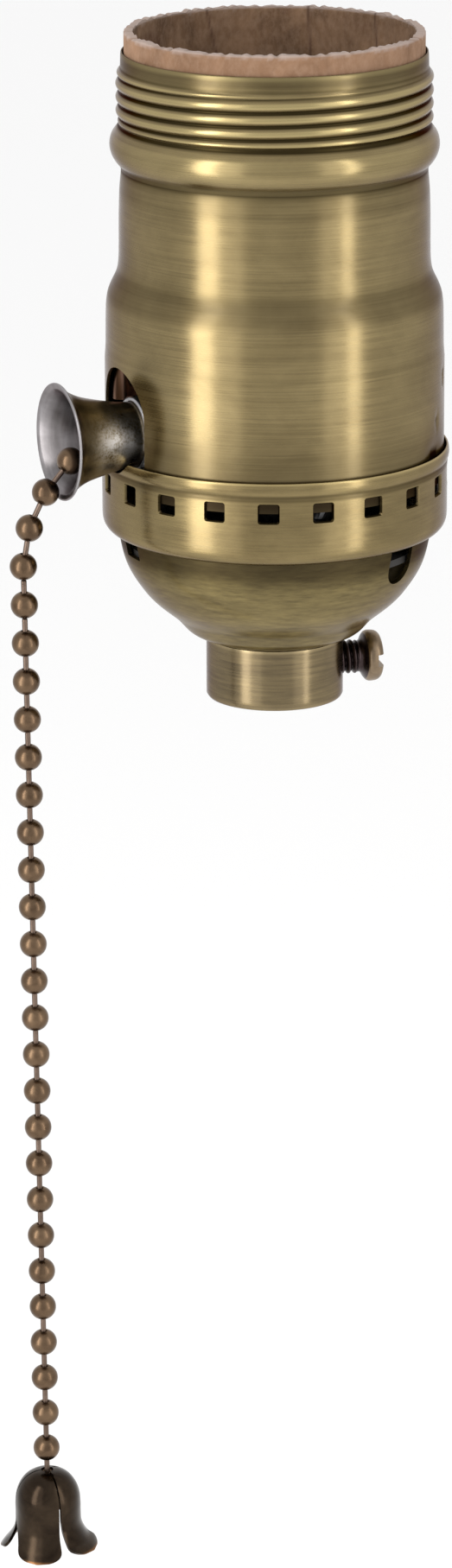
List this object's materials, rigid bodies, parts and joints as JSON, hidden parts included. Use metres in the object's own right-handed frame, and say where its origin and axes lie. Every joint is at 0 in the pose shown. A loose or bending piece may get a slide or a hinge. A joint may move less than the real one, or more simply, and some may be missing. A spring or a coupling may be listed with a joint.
{
  "type": "pull-chain lamp socket",
  "caption": "Pull-chain lamp socket: antique-brass shell with a shade-ring thread, vented cap on a threaded hub, flared side guide and a hanging bead chain that ends in a three-petal pull.",
  "frame": {"origin": "centre of the hub's threaded mouth, on the socket's axis", "axes": "+Z along the socket's axis towards the lamp, -X along the flared side guide that the chain comes out of"},
  "size_m": [0.0569, 0.041, 0.185],
  "materials": {
    "antique_brass": "brushed antique brass, lacquered",
    "screw_brass": "dull brown brass",
    "bright_brass": "bare stamped brass",
    "liner_paper": "matt kraft board with a rough cut edge",
    "fibre": "matt vulcanised fibre",
    "pale_ring": "satin",
    "copper_strap": "satin copper alloy, tarnished",
    "black_moulding": "black phenolic moulding",
    "grey_moulding": "dark grey moulding",
    "plated_steel": "zinc plated",
    "chain_bronze": "brown bronzed brass, satin",
    "dark_bronze": "dark bronzed brass, satin"
  },
  "bodies": {
    "socket": {"cap_band": "antique_brass", "cap_dome": "antique_brass", "cap_hub": "antique_brass", "cap_liner": "fibre", "bell_mouth": "antique_brass", "bell_ferrule": "pale_ring", "bell_bracket": "copper_strap", "bell_rivets": "bright_brass", "switch_base": "black_moulding", "lamp_seat": "black_moulding", "body_screws": "plated_steel", "screw_shell": "bright_brass", "screw_shell_rivets": "bright_brass", "centre_contact": "bright_brass", "centre_rivet": "plated_steel", "rotor_shaft": "plated_steel", "return_spring": "plated_steel", "line_contact": "copper_strap", "load_contact": "copper_strap", "line_terminal": "bright_brass", "neutral_terminal": "plated_steel"},
    "shell": {"outer_shell": "antique_brass", "shell_liner": "liner_paper"},
    "set_screw": {"set_screw": "screw_brass"},
    "line_screw": {"line_screw": "bright_brass"},
    "neutral_screw": {"neutral_screw": "plated_steel"},
    "lever": {"pull_lever": "plated_steel", "lever_pawl": "plated_steel"},
    "rotor": {"ratchet_wheel": "plated_steel", "contact_rotor": "grey_moulding", "rotor_blade": "bright_brass"},
    "inner_chain": {"inner_chain": "chain_bronze"},
    "throat": {"throat_bead": "chain_bronze"},
    "lip_a": {"lip_bead_a": "chain_bronze"},
    "lip_b": {"lip_bead_b": "chain_bronze"},
    "lip_c": {"lip_bead_c": "chain_bronze"},
    "drop": {"drop_bead": "chain_bronze"},
    "swing": {"swing_bead": "chain_bronze"},
    "chain": {"hanging_chain": "chain_bronze"},
    "pull_end": {"pull_end": "dark_bronze"}
  },
  "joints": [
    {"name": "chain_pull", "type": "slide", "parent": "socket", "child": "drop", "axis": [0.0133, 0, -0.9999], "range_m": [0, 0.005], "stiffness_N_per_m": 300, "springref_m": -0.01},
    {"name": "inner_slide", "type": "slide", "parent": "socket", "child": "inner_chain", "axis": [-1, 0, 0], "range_m": [0, 0.00501]},
    {"name": "throat_turn", "type": "hinge", "parent": "socket", "child": "throat", "pos_m": [-0.01911, 0, 0.022], "axis": [0, -1, 0], "range_deg": [0, 25.19]},
    {"name": "lip_a_turn", "type": "hinge", "parent": "socket", "child": "lip_a", "pos_m": [-0.01652, 0, 0.01928], "axis": [0, -1, 0], "range_deg": [0, 19.2]},
    {"name": "lip_b_turn", "type": "hinge", "parent": "socket", "child": "lip_b", "pos_m": [-0.01578, 0, 0.01826], "axis": [0, -1, 0], "range_deg": [0, 17.59]},
    {"name": "lip_c_turn", "type": "hinge", "parent": "socket", "child": "lip_c", "pos_m": [-0.01483, 0, 0.01832], "axis": [0, -1, 0], "range_deg": [0, 16.74]},
    {"name": "lever_swing", "type": "hinge", "parent": "socket", "child": "lever", "pos_m": [-0.00125, 0, 0.03944], "axis": [0, 1, 0], "range_deg": [0, 45.02], "deforming": ["return_spring"]},
    {"name": "rotor_turn", "type": "hinge", "parent": "socket", "child": "rotor", "pos_m": [-0.00125, 0, 0.03944], "axis": [0, 1, 0], "range_deg": [0, 45.02]},
    {"name": "shell_lift", "type": "slide", "parent": "socket", "child": "shell", "axis": [0, 0, 1], "range_m": [0, 0.05]},
    {"name": "set_screw_travel", "type": "slide", "parent": "socket", "child": "set_screw", "axis": [0.9848, -0.1736, 0], "range_m": [0, 0.00238]},
    {"name": "line_screw_travel", "type": "slide", "parent": "socket", "child": "line_screw", "axis": [0, 1, 0], "range_m": [0, 0.001]},
    {"name": "neutral_screw_travel", "type": "slide", "parent": "socket", "child": "neutral_screw", "axis": [0, -1, 0], "range_m": [0, 0.001]},
    {"name": "chain_swing_out", "type": "hinge", "parent": "drop", "child": "swing", "pos_m": [-0.03186, 0, 0.01903], "axis": [0, 1, 0], "range_deg": [-8, 70]},
    {"name": "chain_swing_side", "type": "hinge", "parent": "swing", "child": "chain", "pos_m": [-0.0318, 0, 0.0144], "axis": [1, 0, 0], "range_deg": [-50, 50]},
    {"name": "pull_end_turn", "type": "hinge", "parent": "chain", "child": "pull_end", "pos_m": [-0.03032, 0, -0.09663], "axis": [-0.0133, 0, 0.9999], "continuous": true}
  ],
  "couplings": [
    {"joint": "inner_slide", "follows": "chain_pull", "ratio": 1},
    {"joint": "throat_turn", "follows": "chain_pull", "rad_per_m": 87.763},
    {"joint": "lip_a_turn", "follows": "chain_pull", "rad_per_m": 66.856},
    {"joint": "lip_b_turn", "follows": "chain_pull", "rad_per_m": 61.243},
    {"joint": "lip_c_turn", "follows": "chain_pull", "rad_per_m": 58.261},
    {"joint": "lever_swing", "follows": "chain_pull", "rad_per_m": 156.98},
    {"joint": "rotor_turn", "follows": "chain_pull", "rad_per_m": 156.98}
  ]
}
